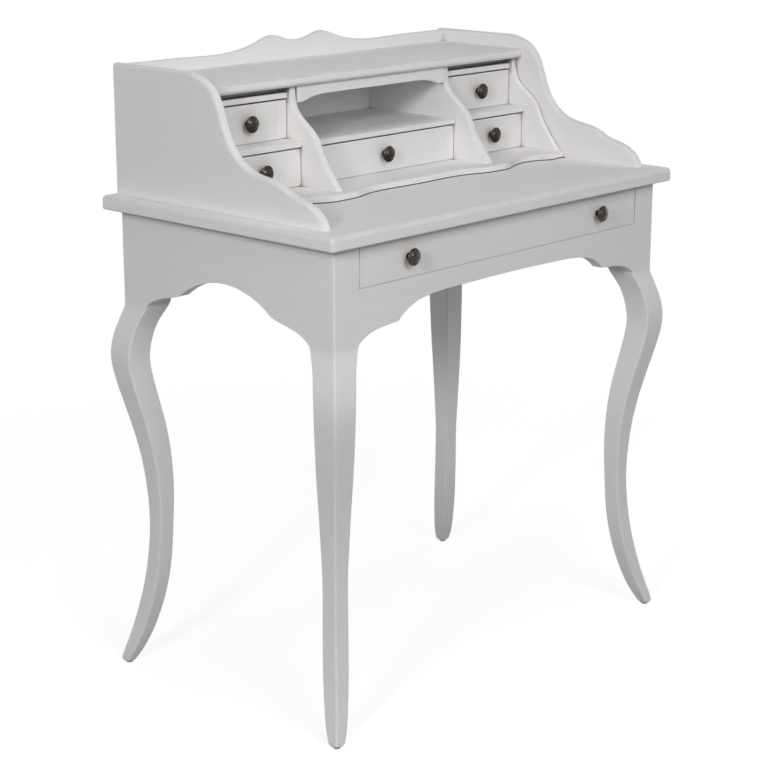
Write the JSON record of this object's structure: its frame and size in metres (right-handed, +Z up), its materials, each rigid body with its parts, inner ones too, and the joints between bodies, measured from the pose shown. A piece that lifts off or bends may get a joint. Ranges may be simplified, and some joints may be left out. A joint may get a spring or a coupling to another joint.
{
  "type": "bonheur du jour",
  "caption": "Small white writing desk on cabriole legs, with a wide apron drawer and a scroll-sided hutch of small drawers round a pigeonhole.",
  "frame": {"origin": "on the floor under the middle of the writing top", "axes": "+X to the sitter's right, +Y to the back of the desk, +Z up"},
  "size_m": [0.8, 0.487, 0.978],
  "materials": {
    "white_paint": "warm off-white brushed satin paint",
    "bare_wood": "bare pale hardwood",
    "plywood": "bare plywood",
    "bronze": "dark antique patina",
    "zinc_steel": "zinc plated",
    "glide": "matte dark brown"
  },
  "bodies": {
    "desk": {"apron_back": "white_paint", "apron_front": "white_paint", "apron_left": "white_paint", "apron_right": "white_paint", "corner_blocks": "bare_wood", "drawer_stops": "bare_wood", "foot_glides": "glide", "gable_left": "white_paint", "gable_right": "white_paint", "hutch_back": "white_paint", "hutch_base": "white_paint", "hutch_deck": "white_paint", "hutch_screws": "zinc_steel", "leg_back_left": "white_paint", "leg_back_right": "white_paint", "leg_bolts": "zinc_steel", "leg_front_left": "white_paint", "leg_front_right": "white_paint", "liner_left": "white_paint", "liner_right": "white_paint", "partition_left": "white_paint", "partition_right": "white_paint", "runner_left": "bare_wood", "runner_right": "bare_wood", "shelf_centre": "white_paint", "shelf_left": "white_paint", "shelf_right": "white_paint", "tabletop": "white_paint", "top_blocks": "bare_wood", "top_board_left": "white_paint", "top_board_right": "white_paint", "valance": "white_paint"},
    "upper_left_drawer": {"upper_left_drawer_front": "white_paint", "upper_left_drawer_box": "bare_wood", "upper_left_drawer_bottom": "plywood", "upper_left_knob": "bronze"},
    "upper_right_drawer": {"upper_right_drawer_front": "white_paint", "upper_right_drawer_box": "bare_wood", "upper_right_drawer_bottom": "plywood", "upper_right_knob": "bronze"},
    "lower_left_drawer": {"lower_left_drawer_front": "white_paint", "lower_left_drawer_box": "bare_wood", "lower_left_drawer_bottom": "plywood", "lower_left_knob": "bronze"},
    "lower_right_drawer": {"lower_right_drawer_front": "white_paint", "lower_right_drawer_box": "bare_wood", "lower_right_drawer_bottom": "plywood", "lower_right_knob": "bronze"},
    "centre_drawer": {"centre_drawer_front": "white_paint", "centre_drawer_box": "bare_wood", "centre_drawer_bottom": "plywood", "centre_knob": "bronze"},
    "desk_drawer": {"desk_drawer_front": "white_paint", "desk_drawer_left": "bare_wood", "desk_drawer_right": "bare_wood", "desk_drawer_back": "bare_wood", "desk_drawer_bottom": "plywood", "desk_knob_left": "bronze", "desk_knob_right": "bronze"}
  },
  "joints": [
    {"name": "upper_left_drawer_slide", "type": "slide", "parent": "desk", "child": "upper_left_drawer", "axis": [0, -1, 0], "range_m": [0, 0.09]},
    {"name": "upper_right_drawer_slide", "type": "slide", "parent": "desk", "child": "upper_right_drawer", "axis": [0, -1, 0], "range_m": [0, 0.09]},
    {"name": "lower_left_drawer_slide", "type": "slide", "parent": "desk", "child": "lower_left_drawer", "axis": [0, -1, 0], "range_m": [0, 0.11]},
    {"name": "lower_right_drawer_slide", "type": "slide", "parent": "desk", "child": "lower_right_drawer", "axis": [0, -1, 0], "range_m": [0, 0.11]},
    {"name": "centre_drawer_slide", "type": "slide", "parent": "desk", "child": "centre_drawer", "axis": [0, -1, 0], "range_m": [0, 0.11]},
    {"name": "desk_drawer_slide", "type": "slide", "parent": "desk", "child": "desk_drawer", "axis": [0, -1, 0], "range_m": [0, 0.25]}
  ]
}
